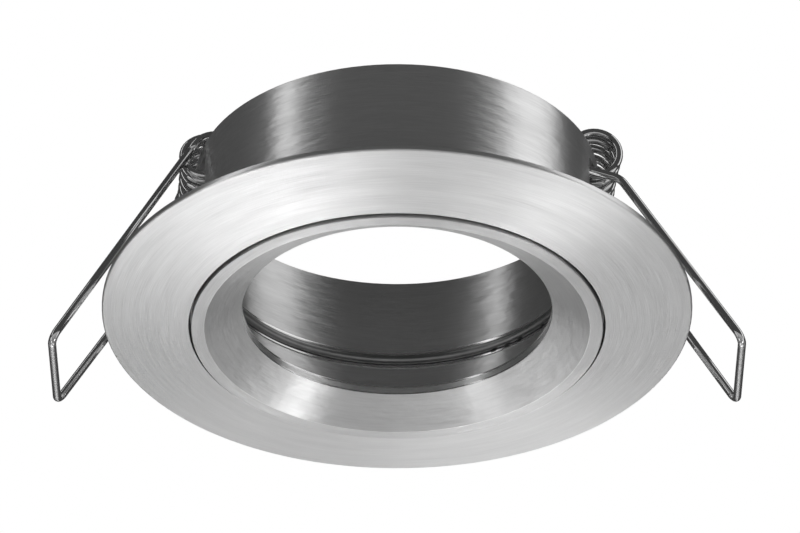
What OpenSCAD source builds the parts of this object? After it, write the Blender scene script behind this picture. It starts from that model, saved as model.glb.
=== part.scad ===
// Soffit downlight: a turned housing with a flange and a windowed collar,
// a lamp ring that pushes out of its face, a wire circlip over the lamp,
// and two torsion spring clips threaded round the strip above each window.
// Origin on the axis at the flange's back face, +Z up into the soffit.

/* [Flange] */
// Outer diameter of the flange
flange_d = 82; // [78:1:100]
// Thickness of the flange at its rim
rim_t = 0.9; // [0.7:0.1:1.3]
// Slope of the conical face, in degrees
face_slope = 10.2; // [6:0.2:13]
// Rounding of the rim's edges
rim_round = 0.28; // [0.1:0.02:0.32]

/* [Collar] */
// Bore of the collar
bore_d = 54; // [54:0.5:56]
// Wall of the collar
collar_t = 1.4; // [1.1:0.1:1.6]
// Height of the collar above the soffit
collar_h = 22; // [21:0.5:26]
// Rounding of the collar's back edge
collar_round = 0.25; // [0.1:0.05:0.5]

/* [Windows] */
// Width of each window
window_w = 19; // [18.4:0.2:22]
// Height of each window
window_h = 7.4; // [7:0.1:8.4]
// Strip of collar left above each window
strip_h = 2.4; // [2.2:0.1:2.6]
// Corner radius of each window
window_r = 0.8; // [0.4:0.1:1.2]

/* [Lamp ring] */
// How far the land reaches out past the bore, onto its seat
land_over = 1.57; // [1.3:0.01:1.7]
// How far the land stands proud of the face
land_proud = 0.35; // [0.2:0.05:0.6]
// Width of the land
land_w = 1.83; // [1.4:0.01:2.1]
// Gap between the land and the face around it
parting_gap = 0.33; // [0.2:0.01:0.4]
// Depth of the seat behind the face's inner edge
seat_depth = 1.17; // [0.9:0.01:1.4]
// Slope of the light cone, in degrees
cone_slope = 31; // [29:0.5:33]
// Width of the light cone, from the land in to the throat
cone_w = 5.18; // [4.2:0.02:6]
// Thickness of the lamp ledge at the throat
ledge_t = 1.4; // [1:0.1:2]
// Wall of the skirt around the lamp
skirt_t = 1.4; // [1.3:0.05:1.5]
// Height of the skirt above the lamp ledge
skirt_h = 8.3; // [8:0.1:8.8]
// Radial clearance of the skirt in the collar
skirt_gap = 0.1; // [0.05:0.01:0.2]
// Rounding of the skirt's top edge
lip_round = 0.45; // [0.2:0.05:0.5]

/* [Lamp circlip] */
// Wire of the circlip
circlip_wire = 1.4; // [1.2:0.1:1.5]
// Height of the circlip above the lamp ledge
circlip_lift = 6.9; // [6.4:0.1:7]
// Depth of the circlip's groove in the skirt
groove_depth = 0.85; // [0.7:0.05:0.9]
// Width of the gap between the circlip's ends
circlip_gap = 9; // [6:0.5:14]

/* [Spring clips] */
// Wire of the spring clips
clip_wire = 1.15; // [1:0.05:1.3]
// Mean radius of the coil
coil_r = 3.375; // [3.3:0.025:3.6]
// Whole turns of the coil between its two legs
coil_turns = 6; // [4:1:7]
// Distance between the two arms of the bail
bail_w = 16.4; // [14:0.2:16.6]
// How far the bail's end bar hangs below the soffit
bail_drop = 9.8; // [6:0.2:14]
// How far outside the hinge the plain arm passes
arm_out = 2.07; // [1.9:0.01:2.3]
// Bend radius of the wire at the bail's corners
bend_r = 1.5; // [1:0.1:2.5]
// Radius of the hook that turns round the strip
hook_r = 3; // [2.9:0.05:3.4]
// Gap between the resting plain arm and the flange's rim
rest_gap = 0.57; // [0.3:0.01:1.2]
// Gap between the resting hooked arm and the flange's rim
hooked_gap = 0.26; // [0.15:0.01:0.5]

/* [Hidden] */
$fn = 120;

// One overrun for every cut
over = 1;
// Steps in each rounded corner of an outline
round_steps = 5;

// Housing, worked out from the sizes above
flange_r = flange_d / 2;
bore_r = bore_d / 2;
collar_r = bore_r + collar_t;
land_r = bore_r + land_over;
recess_r = land_r + parting_gap;
face_z = -rim_t - (flange_r - recess_r) * tan(face_slope);
seat_z = face_z + seat_depth;
root_round = 0.4;
strip_z = collar_h - strip_h;
window_z = strip_z - window_h;

// Lamp ring
land_z = face_z - land_proud;
cone_r = land_r - land_w;
throat_r = cone_r - cone_w;
throat_z = land_z + cone_w * tan(cone_slope);
ledge_z = throat_z + ledge_t;
skirt_r = bore_r - skirt_gap;
skirt_ir = skirt_r - skirt_t;
skirt_z = ledge_z + skirt_h;
land_round = 0.12;
seat_round = 0.2;

// Circlip and its groove, with a turned line below the groove
circlip_z = ledge_z + circlip_lift;
circlip_side_gap = 0.1;
circlip_seat_gap = 0.03;
groove_half = circlip_wire / 2 + circlip_side_gap;
groove_r = skirt_ir + groove_depth;
groove_bevel = 0.3;
circlip_r = groove_r - circlip_seat_gap - circlip_wire / 2;
line_drop = 0.55;
line_w = 0.3;
line_depth = 0.15;

// Spring clips: the hinge axis, and the coil's ends as offsets from it.
// Points in a clip's side view are [distance out from the axis, height].
wire_r = clip_wire / 2;
arm_y = bail_w / 2;
hinge_in = 0.5;
hinge_drop = 0.7;
hinge = [bore_r - hinge_in, collar_h - hinge_drop];
coil_leg_end = [1, 0.9];
coil_body_end = [0.1, -0.6];
coil_leg_c = hinge + coil_leg_end;
coil_body_c = hinge + coil_body_end;
hook_leg_gap = 0.15;
leg_y = clip_wire + hook_leg_gap - arm_y;
leg_gap = 0.05;
leg_below_window = 1.8;
hook_end_angle = 180;
kink_below_strip = 2.4;
full_turn = 360;
// Bent stretches are this much fuller than the straight ones, which run this far into them
bend_swell = 0.005;
bend_lap = 0.05;
coil_steps_per_turn = 8;
coil_sides = 6;

// Unit vector at an angle, in degrees
function dir(a) = [cos(a), sin(a)];

// Angle of a vector, in degrees
function angle_of(v) = atan2(v[1], v[0]);

// Direction from a point to where a tangent touches a circle, turned to the left of its centre,
// or to the right of it where the radius is negative
function tangent_angle(p, c, r) = angle_of(c - p) + asin(r / norm(c - p));

// The plain arm clears the rim by the rest gap, and leaves the coil at a tangent abreast of the hinge
rim_point = [sqrt(flange_r * flange_r - arm_y * arm_y), 0];
rim_way = rim_point - hinge;
arm_normal = angle_of(rim_way) + acos((arm_out - wire_r - rest_gap) / norm(rim_way));
arm_slope = full_turn / 4 - arm_normal;
arm_start = hinge + arm_out * dir(arm_normal);
coil_arm_c = arm_start - coil_r * dir(arm_normal);
bar = arm_start + (arm_start[1] + bail_drop) / sin(arm_slope) * dir(-arm_slope);
arm_len = norm(bar - arm_start) - clip_wire;

// The hooked arm runs from the bar past the rim to a kink, then tangent to the hook
hooked_slope = full_turn / 2 - tangent_angle(bar, rim_point, -wire_r - hooked_gap);
kink_z = strip_z - kink_below_strip;
hooked_len = (kink_z + bail_drop) / sin(hooked_slope);
kink = bar - hooked_len * dir(-hooked_slope);
hook_in = tangent_angle(kink, hinge, hook_r);
hook_way = sqrt(pow(norm(hinge - kink), 2) - hook_r * hook_r);
hook_start = hook_in + full_turn / 4;
kink_turn = hook_in - (full_turn / 2 - hooked_slope);
kink_trim = bend_r * tan(kink_turn / 2);

// The short leg runs tangent to the coil and down the inside of the collar
leg_foot = [sqrt(bore_r * bore_r - leg_y * leg_y) - wire_r - leg_gap, window_z - leg_below_window];
leg_way = tangent_angle(leg_foot, coil_leg_c, coil_r);
leg_angle = leg_way + full_turn / 4;
coil_turning = leg_angle - arm_normal + coil_turns * full_turn;
coil_steps = ceil(coil_turning / full_turn * coil_steps_per_turn);

// Outline with its corners rounded. Each corner is [radius from the axis, height, rounding].
function corner_arc(before, at, after, r, steps) =
    let (a = (before - at) / norm(before - at), b = (after - at) / norm(after - at),
         half = acos(a * b) / 2, mid = (a + b) / norm(a + b),
         c = at + mid * r / sin(half),
         from = angle_of(at + a * r / tan(half) - c),
         to = angle_of(at + b * r / tan(half) - c),
         turn = to - from > full_turn / 2 ? to - from - full_turn
              : to - from < -full_turn / 2 ? to - from + full_turn : to - from)
    [for (i = [0:steps]) c + r * dir(from + turn * i / steps)];

function point(c) = [c[0], c[1]];

function rounded(corners) =
    let (n = len(corners))
    [for (i = [0:n - 1])
        each corners[i][2] == 0 ? [point(corners[i])]
            : corner_arc(point(corners[(i + n - 1) % n]), point(corners[i]),
                         point(corners[(i + 1) % n]), corners[i][2], round_steps)];

module turned(corners) {
    rotate_extrude() polygon(rounded(corners));
}

module window_outline() {
    square([window_w - 2 * window_r, window_h], center = true);
    square([window_w, window_h - 2 * window_r], center = true);
    for (x = [-1, 1], y = [-1, 1])
        translate([x * (window_w / 2 - window_r), y * (window_h / 2 - window_r)])
            circle(r = window_r, $fn = 32);
}

module windows() {
    translate([0, 0, window_z + window_h / 2])
        rotate([full_turn / 4, 0, full_turn / 4])
            linear_extrude(height = 2 * (collar_r + over), center = true)
                window_outline();
}

// Flange and collar, turned from one piece, with a window milled through each side
module housing() {
    color("silver")
        difference() {
            turned([
                [bore_r, seat_z, 0],
                [recess_r, seat_z, 0],
                [recess_r, face_z, land_round],
                [flange_r, -rim_t, rim_round],
                [flange_r, 0, rim_round],
                [collar_r, 0, root_round],
                [collar_r, collar_h, collar_round],
                [bore_r, collar_h, collar_round]]);
            windows();
        }
}

// Ring with the light cone in front, the lamp ledge behind it and a skirt that guides it in the collar
module lamp_ring() {
    color("silver")
        turned([
            [cone_r, land_z, land_round],
            [land_r, land_z, land_round],
            [land_r, seat_z, 0],
            [skirt_r, seat_z, 0],
            [skirt_r, skirt_z, lip_round],
            [skirt_ir, skirt_z, lip_round],
            [skirt_ir, circlip_z + groove_half, 0],
            [groove_r, circlip_z + groove_half, 0],
            [groove_r, circlip_z - groove_half, 0],
            [skirt_ir + groove_bevel, circlip_z - groove_half, 0],
            [skirt_ir, circlip_z - groove_half - groove_bevel, 0],
            [skirt_ir, circlip_z - groove_half - line_drop, 0],
            [skirt_ir + line_depth, circlip_z - groove_half - line_drop, 0],
            [skirt_ir + line_depth, circlip_z - groove_half - line_drop - line_w, 0],
            [skirt_ir, circlip_z - groove_half - line_drop - line_w, 0],
            [skirt_ir, ledge_z, 0],
            [throat_r, ledge_z, seat_round],
            [throat_r, throat_z, land_round]]);
}

// Sprung wire ring that snaps in over the lamp, its gap towards -Y
module lamp_circlip() {
    gap_angle = 2 * asin(circlip_gap / (2 * circlip_r));
    color("dimgray")
        translate([0, 0, circlip_z])
            rotate([0, 0, gap_angle / 2 - full_turn / 4])
                rotate_extrude(angle = full_turn - gap_angle)
                    translate([circlip_r, 0])
                        circle(r = circlip_wire / 2, $fn = 48);
}

// Centre of the coil: it leans along its body, and its last turn is drawn inward to the arm
function coil_centre(share) =
    let (body = 1 - full_turn / coil_turning, last = (share - body) / (1 - body))
    last < 0 ? coil_leg_c + share / body * (coil_body_c - coil_leg_c)
        : coil_body_c + last * last * (3 - 2 * last) * (coil_arm_c - coil_body_c);

// Points along the coil: up the short leg, round the strip, and straight on for one wire at the arm
function coil_point(i) =
    let (share = i / coil_steps,
         p = coil_centre(share) + coil_r * dir(leg_angle - share * coil_turning))
    [p[0], leg_y + share * (arm_y - leg_y), p[1]];

function coil_out(i) =
    let (d = dir(leg_angle - i / coil_steps * coil_turning))
    [d[0], 0, d[1]];

// Each entry is a point and the way out from the coil's axis there
function coil_path() =
    let (ahead = arm_start + clip_wire * dir(-arm_slope))
    concat(
        [[[leg_foot[0], leg_y, leg_foot[1]], coil_out(0)]],
        [for (i = [0:coil_steps]) [coil_point(i), coil_out(i)]],
        [[[ahead[0], arm_y, ahead[1]], coil_out(coil_steps)]]);

function unit(v) = v / norm(v);

function ring(path, i) =
    let (n = len(path) - 1,
         way = i == 0 ? path[1][0] - path[0][0]
             : i == n ? path[n][0] - path[n - 1][0]
             : unit(path[i + 1][0] - path[i][0]) + unit(path[i][0] - path[i - 1][0]),
         t = unit(way), out = unit(path[i][1] - (path[i][1] * t) * t), side = cross(t, out))
    [for (k = [0:coil_sides - 1])
        path[i][0] + wire_r * (cos(k * full_turn / coil_sides) * out
                               + sin(k * full_turn / coil_sides) * side)];

// One unbroken tube of flat-sided wire along a path
module tube(path) {
    n = len(path);
    s = coil_sides;
    walls = [for (i = [0:n - 2], k = [0:s - 1], half = [0, 1])
        let (a = i * s + k, b = i * s + (k + 1) % s)
        half == 0 ? [a, a + s, b] : [b, a + s, b + s]];
    start = [for (k = [1:s - 2]) [0, k, k + 1]];
    end = [for (k = [1:s - 2]) [(n - 1) * s, (n - 1) * s + k + 1, (n - 1) * s + k]];
    polyhedron(
        points = [for (i = [0:n - 1]) each ring(path, i)],
        faces = concat(walls, start, end));
}

// Least gap between turns of the coil, measured between points a good half turn or more apart
coil_gap = min([for (i = [0:coil_steps], j = [0:coil_steps])
    if (j - i > coil_steps_per_turn / 2) norm(coil_point(j) - coil_point(i)) - clip_wire]);
echo(least_gap_of_the_coil_to_itself_mm = coil_gap);

// Quarter bend at a corner of the bail, and the arm behind it; x runs along the arm to the bar
module bail_side(side, length) {
    translate([-bend_r, side * (arm_y - bend_r), 0])
        rotate([0, 0, side > 0 ? 0 : -full_turn / 4])
            rotate_extrude(angle = full_turn / 4)
                translate([bend_r, 0])
                    circle(r = wire_r + bend_swell, $fn = 32);
    translate([-length, side * arm_y, 0])
        rotate([0, full_turn / 4, 0])
            cylinder(r = wire_r, h = length - bend_r + bend_lap, $fn = 32);
}

// Arc of wire in the side view, about a point, between two angles
module wire_arc(c, r, from, to) {
    translate([c[0], -arm_y, c[1]])
        rotate([full_turn / 4, 0, 0])
            rotate([0, 0, from])
                rotate_extrude(angle = to - from)
                    translate([r, 0])
                        circle(r = wire_r + bend_swell, $fn = 32);
}

// Kink, straight and hook of the hooked arm, which passes in through the window under the strip
module hooked_end() {
    up = full_turn / 2 - hooked_slope;
    c = kink - kink_trim * dir(up) + bend_r * dir(up + full_turn / 4);
    wire_arc(c, bend_r, up - full_turn / 4, hook_in - full_turn / 4);
    translate([kink[0], -arm_y, kink[1]])
        rotate([0, -hook_in, 0])
            translate([kink_trim - bend_lap, 0, 0])
                rotate([0, full_turn / 4, 0])
                    cylinder(r = wire_r, h = hook_way - kink_trim + 2 * bend_lap, $fn = 32);
    wire_arc(hinge, hook_r, hook_end_angle, hook_start);
}

module spring_bail() {
    bar_half = arm_y - bend_r;
    color("gray") {
        translate([bar[0], 0, bar[1]]) {
            rotate([full_turn / 4, 0, 0])
                cylinder(r = wire_r, h = 2 * (bar_half + bend_lap), center = true, $fn = 32);
            rotate([0, arm_slope, 0])
                bail_side(1, arm_len);
            rotate([0, hooked_slope, 0])
                bail_side(-1, hooked_len - kink_trim + bend_lap);
        }
        hooked_end();
    }
}

module spring_coil() {
    color("gray")
        tube(coil_path());
}

module left_spring_coil() {
    rotate([0, 0, full_turn / 2]) spring_coil();
}

module left_spring_bail() {
    rotate([0, 0, full_turn / 2]) spring_bail();
}

module right_spring_coil() {
    spring_coil();
}

module right_spring_bail() {
    spring_bail();
}

housing();
lamp_ring();
lamp_circlip();
left_spring_coil();
left_spring_bail();
right_spring_coil();
right_spring_bail();
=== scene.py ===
import math

import bpy
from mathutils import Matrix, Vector


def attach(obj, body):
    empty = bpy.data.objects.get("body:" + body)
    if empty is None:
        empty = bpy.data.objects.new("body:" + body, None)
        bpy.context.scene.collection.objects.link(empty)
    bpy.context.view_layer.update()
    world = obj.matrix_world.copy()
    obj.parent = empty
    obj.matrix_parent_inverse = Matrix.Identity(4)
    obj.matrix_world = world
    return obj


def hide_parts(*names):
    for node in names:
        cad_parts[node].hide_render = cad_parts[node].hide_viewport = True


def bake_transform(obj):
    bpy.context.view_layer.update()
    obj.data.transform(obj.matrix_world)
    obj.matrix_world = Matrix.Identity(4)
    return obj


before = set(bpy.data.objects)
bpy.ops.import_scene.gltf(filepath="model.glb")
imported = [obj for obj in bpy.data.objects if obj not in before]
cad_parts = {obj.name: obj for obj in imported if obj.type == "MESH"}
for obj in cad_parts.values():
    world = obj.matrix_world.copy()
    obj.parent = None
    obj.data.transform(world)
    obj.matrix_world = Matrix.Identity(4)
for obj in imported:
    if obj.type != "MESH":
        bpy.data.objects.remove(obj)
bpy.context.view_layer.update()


# Camera: it looks up at the fitting from below the soffit and in front, from
# far off with a long lens, as the fitting is seen from the ground.
camera_slope = math.radians(33.12)
camera_far = 0.820
camera_target = Vector((0.00041, 0, 0.0073))
sensor_w = 36
focal = 264.18

camera_data = bpy.data.cameras.new("camera")
camera_data.sensor_width = sensor_w
camera_data.lens = focal
camera = bpy.data.objects.new("camera", camera_data)
looking = Vector((0, math.cos(camera_slope), math.sin(camera_slope)))
camera.location = camera_target - camera_far * looking
camera.rotation_euler = (math.pi / 2 + camera_slope, 0, 0)
bpy.context.scene.collection.objects.link(camera)
bpy.context.scene.camera = camera
bpy.context.scene.view_settings.view_transform = "Standard"


# Studio: a plain pale floor well below the camera, a white surround that the
# camera sees, and soft lamps. Metal mirrors the white surround below the
# horizon and the dim room above it.
floor_drop = 1.1
floor_half = 4
paper_tone = 0.8
paper_roughness = 0.9
wash_height = -0.35
room_level = 0.073
white_way = (0, 0.89, -0.456)
white_starts = 0.94
white_full = 0.985


def grey(level):
    return (level, level, level, 1)


def shader(name):
    """A new material and its Principled shader."""
    material = bpy.data.materials.new(name)
    material.use_nodes = True
    return material, material.node_tree.nodes["Principled BSDF"]


floor_material, floor_shader = shader("floor_paper")
floor_shader.inputs["Base Color"].default_value = grey(paper_tone)
floor_shader.inputs["Roughness"].default_value = paper_roughness
floor_mesh = bpy.data.meshes.new("floor")
floor_mesh.from_pydata(
    [(x * floor_half, y * floor_half, -floor_drop) for x, y in ((-1, -1), (1, -1), (1, 1), (-1, 1))],
    [], [(0, 1, 2, 3)])
floor_mesh.materials.append(floor_material)
floor = bpy.data.objects.new("floor", floor_mesh)
bpy.context.scene.collection.objects.link(floor)

world = bpy.data.worlds.new("studio")
bpy.context.scene.world = world
world.use_nodes = True
nodes = world.node_tree.nodes
links = world.node_tree.links
room = nodes["Background"]
room.inputs["Color"].default_value = grey(1)
room.inputs["Strength"].default_value = room_level
white = nodes.new("ShaderNodeBackground")
white.inputs["Color"].default_value = grey(1)
white.inputs["Strength"].default_value = 1
path = nodes.new("ShaderNodeLightPath")
place = nodes.new("ShaderNodeTexCoord")
behind = nodes.new("ShaderNodeVectorMath")
behind.operation = "DOT_PRODUCT"
behind.inputs[1].default_value = white_way
links.new(place.outputs["Generated"], behind.inputs[0])
low = nodes.new("ShaderNodeMapRange")
low.inputs["From Min"].default_value = white_starts
low.inputs["From Max"].default_value = white_full
links.new(behind.outputs["Value"], low.inputs["Value"])
mirrored = nodes.new("ShaderNodeMath")
mirrored.operation = "MAXIMUM"
links.new(path.outputs["Is Glossy Ray"], mirrored.inputs[0])
links.new(path.outputs["Is Transmission Ray"], mirrored.inputs[1])
mirrored_low = nodes.new("ShaderNodeMath")
mirrored_low.operation = "MULTIPLY"
links.new(mirrored.outputs["Value"], mirrored_low.inputs[0])
links.new(low.outputs["Result"], mirrored_low.inputs[1])
seen = nodes.new("ShaderNodeMath")
seen.operation = "MAXIMUM"
links.new(path.outputs["Is Camera Ray"], seen.inputs[0])
links.new(mirrored_low.outputs["Value"], seen.inputs[1])
surround = nodes.new("ShaderNodeMixShader")
links.new(seen.outputs["Value"], surround.inputs["Fac"])
links.new(room.outputs["Background"], surround.inputs[1])
links.new(white.outputs["Background"], surround.inputs[2])
links.new(surround.outputs["Shader"], nodes["World Output"].inputs["Surface"])


def soft_lamp(name, place, size, watts, aim=(0, 0, 0.01), mirrored=True):
    """A flat soft lamp that faces a point."""
    data = bpy.data.lights.new(name, "AREA")
    data.shape = "RECTANGLE"
    data.size, data.size_y = size
    data.energy = watts
    lamp = bpy.data.objects.new(name, data)
    lamp.location = place
    lamp.rotation_euler = (Vector(aim) - Vector(place)).to_track_quat("-Z", "Y").to_euler()
    lamp.visible_camera = False
    lamp.visible_glossy = mirrored
    bpy.context.scene.collection.objects.link(lamp)


soft_lamp("left_strip", (-0.74, -0.37, 0.50), (0.16, 1.3), 0.85)
soft_lamp("right_strip", (0.83, -0.15, 0.50), (0.56, 1.3), 2.3)
soft_lamp("left_strip_foot", (-0.80, -0.25, -0.45), (0.24, 0.6), 0.34)
soft_lamp("right_strip_foot", (0.83, -0.14, -0.45), (0.40, 0.6), 0.5)
soft_lamp("low_left_outer", (-0.37, 0.58, -0.65), (0.25, 0.25), 0.09)
soft_lamp("low_left_middle", (-0.33, 0.47, -0.76), (0.25, 0.25), 0.17)
soft_lamp("low_left_inner", (-0.13, 0.30, -0.89), (0.25, 0.25), 0.12)
soft_lamp("low_left_front", (-0.47, -0.02, -0.83), (0.25, 0.25), 0.30)
soft_lamp("low_right", (0.33, 0.47, -0.76), (0.20, 0.20), 0.17)
soft_lamp("low_right_front", (0.50, 0.04, -0.80), (0.20, 0.20), 0.52)
soft_lamp("spot_left_outer", (-0.137, 0.717, -0.609), (0.1, 0.1), 0.046)
soft_lamp("spot_left", (-0.085, 0.649, -0.689), (0.1, 0.1), 0.24)
soft_lamp("spot_right", (0.094, 0.656, -0.681), (0.1, 0.1), 0.12)
soft_lamp("spot_back", (0.089, 0.922, -0.209), (0.2, 0.2), 0.075)
for side, y, watts in ((0, 1.7, 4.9), (0, 2.5, 4.4), (0, 0.7, 2.5), (-1.0, 1.6, 1.5)):
    soft_lamp("floor_wash", (side, y, wash_height), (0.8, 0.8), watts, (side, y, -floor_drop),
              mirrored=False)
soft_lamp("floor_wash_near", (0, -2.4, wash_height), (8, 3.2), 55, (0, -2.4, -floor_drop), mirrored=False)
soft_lamp("floor_wash_left", (-3, 1.8, wash_height), (2, 4.4), 17, (-3, 1.8, -floor_drop), mirrored=False)
soft_lamp("floor_wash_right", (3, 1.8, wash_height), (2, 4.4), 17, (3, 1.8, -floor_drop), mirrored=False)


# Housing: one piece of aluminium bar, turned to a flange with a collar behind it, and a
# window milled through each side of the collar. It is left as it came off the lathe, so
# fine rings run round it and highlights spread across them.
ring_pitch = 0.00016
ring_run = 5
band_pitch = 0.0013
band_run = 2.6
chatter_pitch = 0.0008
chatter_run = 7
ring_depth = 0.000014
chatter_depth = 0.000085
height_share = 0.7
band_share = 0.5
flange_calm = 0.68
bore_shade_and_land_tone = 0.76
# Near-black tone: painted shade in the parting gap, and the colour of the ring's torn marks.
shade_and_marks_tone = 0.05
polish_swing = 0.16
burnish_polish = 0.15
edge_roll = 0.8
highlight_turn = 0.25
lathe_roughness = 0.34
lathe_spread = 0.85
# The parting gap between housing and lamp ring is coloured near black: painted shade in the crevice.
gap_inner_r = 0.02863
gap_outer_r = 0.02897
gap_mouth_z = -0.00295
gap_floor_z = -0.0018
# Painted shade on the inner walls of the bore and of the ring's skirt, where the collar keeps light out;
# the last zone makes the land darker in tone.
bore_shade_and_land_zones = ((0.0254, 0.0256, 0.0012, 0.009), (0.02695, 0.02715, 0.009, 0.023),
              (0.0268, 0.0286, -0.004, -0.0033))
burnished_edges = ((0.0254, 0.0263, 0.00872, 0.0095), (0.0254, 0.02585, 0.00662, 0.00724),
                   (0.0215, 0.0219, 0.0007, 0.0013), (0.0215, 0.02165, -0.00032, -0.0001))


def node_of(nodes, kind, **settings):
    """A new shader node with its properties set."""
    made = nodes.new(kind)
    for key, value in settings.items():
        setattr(made, key, value)
    return made


def turned_metal(name, dark, light, roughness, spread, burrs=None):
    """Bare turned aluminium: fine rings round the axis, and painted shade in the parting gap."""
    material, metal = shader(name)
    nodes = material.node_tree.nodes
    join = material.node_tree.links.new

    def math_of(operation, a, b=None, c=None):
        made = node_of(nodes, "ShaderNodeMath", operation=operation)
        for socket, value in zip(made.inputs, (a, b, c)):
            if isinstance(value, (int, float)):
                socket.default_value = value
            elif value is not None:
                join(value, socket)
        return made.outputs["Value"]

    def within(value, low, high):
        return math_of("MULTIPLY", math_of("GREATER_THAN", value, low), math_of("LESS_THAN", value, high))

    spot = node_of(nodes, "ShaderNodeTexCoord").outputs["Object"]
    split = node_of(nodes, "ShaderNodeSeparateXYZ")
    join(spot, split.inputs["Vector"])
    level = node_of(nodes, "ShaderNodeCombineXYZ")
    join(split.outputs["X"], level.inputs["X"])
    join(split.outputs["Y"], level.inputs["Y"])
    length = node_of(nodes, "ShaderNodeVectorMath", operation="LENGTH")
    join(level.outputs["Vector"], length.inputs[0])
    radius = length.outputs["Value"]
    height = split.outputs["Z"]
    way = node_of(nodes, "ShaderNodeVectorMath", operation="NORMALIZE")
    join(level.outputs["Vector"], way.inputs[0])
    way_split = node_of(nodes, "ShaderNodeSeparateXYZ")
    join(way.outputs["Vector"], way_split.inputs["Vector"])
    along = node_of(nodes, "ShaderNodeCombineXYZ")
    join(math_of("MULTIPLY_ADD", height, height_share, radius), along.inputs["X"])
    join(way_split.outputs["X"], along.inputs["Y"])
    join(way_split.outputs["Y"], along.inputs["Z"])

    def rings(pitch, run, detail):
        """Noise that is fine across the turning and drawn out along it."""
        stretch = node_of(nodes, "ShaderNodeVectorMath", operation="MULTIPLY")
        join(along.outputs["Vector"], stretch.inputs[0])
        stretch.inputs[1].default_value = (1 / pitch, run, run)
        noise = node_of(nodes, "ShaderNodeTexNoise")
        noise.inputs["Scale"].default_value = 1
        noise.inputs["Detail"].default_value = detail
        join(stretch.outputs["Vector"], noise.inputs["Vector"])
        return noise.outputs["Fac"]

    fine = rings(ring_pitch, ring_run, 3)
    bands = rings(band_pitch, band_run, 2)
    chatter = rings(chatter_pitch, chatter_run, 2)
    tone = math_of("ADD", math_of("MULTIPLY", fine, 1 - band_share), math_of("MULTIPLY", bands, band_share))
    tint = node_of(nodes, "ShaderNodeMix", data_type="RGBA")
    join(tone, tint.inputs["Factor"])
    tint.inputs["A"].default_value = dark
    tint.inputs["B"].default_value = light

    def zone(low_r, high_r, low_z, high_z):
        return math_of("MULTIPLY", within(radius, low_r, high_r), within(height, low_z, high_z))

    def any_of(marks):
        total = marks[0]
        for mark in marks[1:]:
            total = math_of("MAXIMUM", total, mark)
        return total

    # Painted shade: the inner walls of the bore are darkened, and the land is made darker in tone.
    bore_shade_and_land = node_of(nodes, "ShaderNodeMix", data_type="RGBA", blend_type="MULTIPLY")
    join(any_of([zone(*edges) for edges in bore_shade_and_land_zones]), bore_shade_and_land.inputs["Factor"])
    join(tint.outputs["Result"], bore_shade_and_land.inputs["A"])
    bore_shade_and_land.inputs["B"].default_value = grey(bore_shade_and_land_tone)
    # Painted shade: the parting gap is coloured near black, and the torn marks along the groove share that
    # colour.
    gap_shade_and_marks = zone(gap_inner_r, gap_outer_r, gap_mouth_z, gap_floor_z)
    if burrs:
        gap_shade_and_marks = math_of("MAXIMUM", gap_shade_and_marks, burrs(math_of, zone, rings, way_split))
    shade_and_marks_paint = node_of(nodes, "ShaderNodeMix", data_type="RGBA")
    join(gap_shade_and_marks, shade_and_marks_paint.inputs["Factor"])
    join(bore_shade_and_land.outputs["Result"], shade_and_marks_paint.inputs["A"])
    shade_and_marks_paint.inputs["B"].default_value = grey(shade_and_marks_tone)
    join(shade_and_marks_paint.outputs["Result"], metal.inputs["Base Color"])
    worn = math_of("MULTIPLY_ADD", tone, -polish_swing, roughness + polish_swing / 2)
    burnished = any_of([zone(*edges) for edges in burnished_edges])
    join(math_of("MULTIPLY_ADD", burnished, -burnish_polish, worn), metal.inputs["Roughness"])
    waves = node_of(nodes, "ShaderNodeBump")
    waves.inputs["Distance"].default_value = chatter_depth
    on_flange = math_of("GREATER_THAN", radius, gap_outer_r)
    join(math_of("MULTIPLY_ADD", on_flange, -flange_calm, 1), waves.inputs["Strength"])
    join(chatter, waves.inputs["Height"])
    grooves = node_of(nodes, "ShaderNodeBump")
    grooves.inputs["Distance"].default_value = ring_depth
    join(fine, grooves.inputs["Height"])
    join(waves.outputs["Normal"], grooves.inputs["Normal"])
    inward = node_of(nodes, "ShaderNodeVectorMath", operation="SCALE")
    join(way.outputs["Vector"], inward.inputs[0])
    inward.inputs["Scale"].default_value = -1
    rolled = node_of(nodes, "ShaderNodeMix", data_type="VECTOR")
    join(math_of("MULTIPLY", burnished, edge_roll), rolled.inputs["Factor"])
    join(grooves.outputs["Normal"], rolled.inputs["A"])
    join(inward.outputs["Vector"], rolled.inputs["B"])
    upright = node_of(nodes, "ShaderNodeVectorMath", operation="NORMALIZE")
    join(rolled.outputs["Result"], upright.inputs[0])
    join(upright.outputs["Vector"], metal.inputs["Normal"])
    tangent = node_of(nodes, "ShaderNodeTangent", direction_type="RADIAL", axis="Z")
    join(tangent.outputs["Tangent"], metal.inputs["Tangent"])
    metal.inputs["Metallic"].default_value = 1
    metal.inputs["Anisotropic"].default_value = spread
    metal.inputs["Anisotropic Rotation"].default_value = highlight_turn
    return material


def finish_node(name, material):
    """Gives a CAD node its material."""
    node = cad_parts[name]
    node.data.materials.clear()
    node.data.materials.append(material)


aluminium_dark = grey(0.62)
aluminium_light = grey(0.92)
finish_node("housing", turned_metal("turned_aluminium", aluminium_dark, aluminium_light,
                                    lathe_roughness, lathe_spread))


# Lamp ring: turned from the same bar. It pushes up into the housing's bore
# from below, and carries the lamp on a ledge behind its cone. The grooving
# tool has left small torn marks along the lower edge of the circlip's groove.
groove_edge = (0.0254, 0.0259, 0.00675, 0.00722)
mark_spacing = math.radians(5.1)
marks_start = 0.55
teeth_start = 0.35
patch_pitch = 0.02
patch_run = 4


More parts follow.
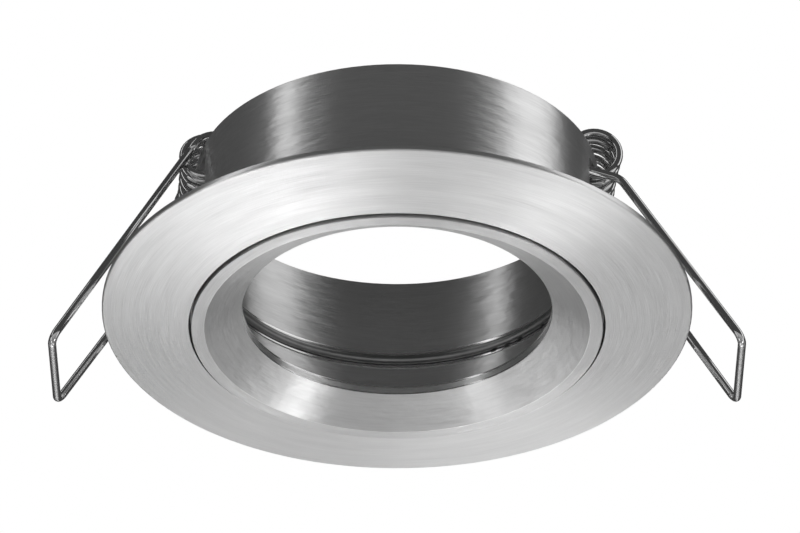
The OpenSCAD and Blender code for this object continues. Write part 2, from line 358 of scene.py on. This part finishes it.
def groove_marks(math_of, zone, rings, way_split):
    """Where the torn marks are: evenly spaced teeth that come and go round the edge."""
    turn = math_of("ARCTAN2", way_split.outputs["Y"], way_split.outputs["X"])
    wave = math_of("SINE", math_of("MULTIPLY", turn, 2 * math.pi / mark_spacing))
    teeth = math_of("GREATER_THAN", wave, teeth_start)
    patches = math_of("GREATER_THAN", rings(patch_pitch, patch_run, 1), marks_start)
    return math_of("MULTIPLY", math_of("MULTIPLY", teeth, patches), zone(*groove_edge))


finish_node("lamp_ring", turned_metal("turned_aluminium_ring", aluminium_dark, aluminium_light,
                                      lathe_roughness, lathe_spread, groove_marks))


# Circlip: a ring of spring wire, sprung into the groove above the lamp.
# Its colour is painted dark for the shade in the groove, with the odd rubbed patch.
circlip_shade_dark = grey(0.2)
circlip_shade_light = grey(0.32)
circlip_roughness = 0.34
rubbed_scale = 500
rubbed_detail = 3
rubbed_polish = 0.02


def wire_finish(name, dark, light, roughness):
    """Smooth drawn wire, a little uneven in tone and polish."""
    material, metal = shader(name)
    nodes = material.node_tree.nodes
    join = material.node_tree.links.new
    spot = node_of(nodes, "ShaderNodeTexCoord")
    patches = node_of(nodes, "ShaderNodeTexNoise")
    patches.inputs["Scale"].default_value = rubbed_scale
    patches.inputs["Detail"].default_value = rubbed_detail
    join(spot.outputs["Object"], patches.inputs["Vector"])
    tint = node_of(nodes, "ShaderNodeMix", data_type="RGBA")
    tint.inputs["A"].default_value = dark
    tint.inputs["B"].default_value = light
    join(patches.outputs["Fac"], tint.inputs["Factor"])
    join(tint.outputs["Result"], metal.inputs["Base Color"])
    polish = node_of(nodes, "ShaderNodeMapRange")
    polish.inputs["To Min"].default_value = roughness + rubbed_polish
    polish.inputs["To Max"].default_value = roughness - rubbed_polish
    join(patches.outputs["Fac"], polish.inputs["Value"])
    join(polish.outputs["Result"], metal.inputs["Roughness"])
    metal.inputs["Metallic"].default_value = 1
    return material


finish_node("lamp_circlip", wire_finish("shaded_spring_wire", circlip_shade_dark, circlip_shade_light, circlip_roughness))


# Spring clips: each is one length of bright drawn spring wire, wound round the strip of
# collar above the window, and a short leg bears on the inside of the collar. On the real
# clip the coil twists as the bail swings; here it is drawn in one pose. It is drawn with
# eight turns, where the solid has six.
bright_dark = grey(0.56)
bright_light = grey(0.68)
bright_roughness = 0.08
clip_wire_r = 0.000575
coil_r = 0.003375
coil_turns = 8
coil_opening = 0.3
arm_y = 0.0082
leg_y = -0.0069
arm_out = 0.00207
leg_end = Vector((0.0279, 0.0222))
body_end = Vector((0.0266, 0.0211))
leg_foot = Vector((0.025476, 0.0104))
hinge = Vector((0.0265, 0.0213))
arm_slope = math.radians(59.4)
wire_sides = 16
coil_rings = 36
join_ahead = 2
join_overlap = 0.1


def heading(angle):
    return Vector((math.cos(angle), math.sin(angle)))


arm_normal = math.pi / 2 - arm_slope
arm_start = hinge + arm_out * heading(arm_normal)
arm_end = arm_start - coil_r * heading(arm_normal)
leg_line = leg_end - leg_foot
leg_angle = math.atan2(leg_line.y, leg_line.x) + math.asin(coil_r / leg_line.length) + math.pi / 2
coil_angle = leg_angle - arm_normal + coil_turns * 2 * math.pi
body_share = 1 - 2 * math.pi / coil_angle


def coil_centre(share):
    """Centre of the coil: it sits further out at the leg, and its last turn is drawn in to the arm."""
    if share < body_share:
        left = 1 - share / body_share
        out = leg_end - body_end
        return body_end + Vector((out.x * left ** 2, out.y * left ** 3))
    last = (share - body_share) / (1 - body_share)
    return body_end.lerp(arm_end, last * last * (3 - 2 * last))


def coil_path():
    """Points along the wire: up the short leg, round the strip, and on into the arm."""
    steps = math.ceil(coil_angle / (2 * math.pi) * coil_rings)
    points = [Vector((leg_foot.x, leg_y, leg_foot.y))]
    for step in range(steps + 1):
        share = step / steps
        at = coil_centre(share) + coil_r * heading(leg_angle - share * coil_angle)
        across = share - coil_opening * math.sin(2 * math.pi * share) / (2 * math.pi)
        points.append(Vector((at.x, leg_y + across * (arm_y - leg_y), at.y)))
    ahead = arm_start + join_ahead * clip_wire_r * heading(-arm_slope)
    points.append(Vector((ahead.x, arm_y, ahead.y)))
    return points


def wire_tube(name, points, radius, sides):
    """A round tube along a path, closed at both ends."""
    verts, faces = [], []
    side = Vector((0, 1, 0.01))
    for i, point in enumerate(points):
        before = points[max(i - 1, 0)]
        after = points[min(i + 1, len(points) - 1)]
        way = (after - before).normalized()
        side = (side - side.dot(way) * way).normalized()
        out = way.cross(side)
        for k in range(sides):
            turn = 2 * math.pi * k / sides
            verts.append(point + radius * (math.cos(turn) * side + math.sin(turn) * out))
    for i in range(len(points) - 1):
        for k in range(sides):
            a, b = i * sides + k, i * sides + (k + 1) % sides
            faces.append((a, b, b + sides, a + sides))
    last = (len(points) - 1) * sides
    faces.append(tuple(reversed(range(sides))))
    faces.append(tuple(range(last, last + sides)))
    mesh = bpy.data.meshes.new(name)
    mesh.from_pydata(verts, [], faces)
    mesh.polygons.foreach_set("use_smooth", [len(face) == 4 for face in faces])
    mesh.update()
    made = bpy.data.objects.new(name, mesh)
    bpy.context.scene.collection.objects.link(made)
    return made


def both_sides(name, path):
    """The same wire on the left and the right, turned half round."""
    for clip, half_turn in (("left", -1), ("right", 1)):
        points = [Vector((half_turn * p.x, half_turn * p.y, p.z)) for p in path]
        wire = wire_tube(f"{clip}_{name}", points, clip_wire_r, wire_sides)
        wire.data.materials.append(spring_wire)
        yield clip, half_turn, wire


spring_wire = wire_finish("drawn_spring_wire", bright_dark, bright_light, bright_roughness)
for clip, half_turn, coil in both_sides("coil", coil_path()):
    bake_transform(coil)
    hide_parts(clip + "_spring_coil")


# Bails: the same wire runs on from the coil, down past the flange's rim to a
# bar that a finger can pull, and back up on the other side. There it is bent
# in through the window and hooked round the strip.
bar = Vector((0.0473, -0.0098))
bar_bend_r = 0.0015
kink = Vector((0.0311, 0.0166))
kink_bend_r = 0.003
hook_r = 0.003
bend_steps = 12


def bent(corners, radii):
    """A path through corners, each rounded to its bend radius."""
    path = [corners[0]]
    for before, at, after, radius in zip(corners, corners[1:], corners[2:], radii):
        a = (before - at).normalized()
        b = (after - at).normalized()
        half = a.angle(b) / 2
        middle = at + (a + b).normalized() * radius / math.sin(half)
        start = at + a * radius / math.tan(half) - middle
        end = at + b * radius / math.tan(half) - middle
        for step in range(bend_steps + 1):
            path.append(middle + radius * start.slerp(end, step / bend_steps))
    return path + [corners[-1]]


bail_start = arm_start + (join_ahead - join_overlap) * clip_wire_r * heading(-arm_slope)
to_hinge = hinge - kink
hook_way = math.atan2(to_hinge.y, to_hinge.x) + math.asin(hook_r / to_hinge.length)
hook_turn = hook_way + math.pi / 2
hook_start = hinge + hook_r * heading(hook_turn)
bail_path = bent(
    [Vector((bail_start.x, arm_y, bail_start.y)), Vector((bar.x, arm_y, bar.y)),
     Vector((bar.x, -arm_y, bar.y)), Vector((kink.x, -arm_y, kink.y)),
     Vector((hook_start.x, -arm_y, hook_start.y))],
    [bar_bend_r, bar_bend_r, kink_bend_r])
for step in range(1, bend_steps + 1):
    at = hinge + hook_r * heading(hook_turn + (math.pi - hook_turn) * step / bend_steps)
    bail_path.append(Vector((at.x, -arm_y, at.y)))
for clip, half_turn, bail in both_sides("bail", bail_path):
    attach(bail, clip + "_bail_body")
    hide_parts(clip + "_spring_bail")
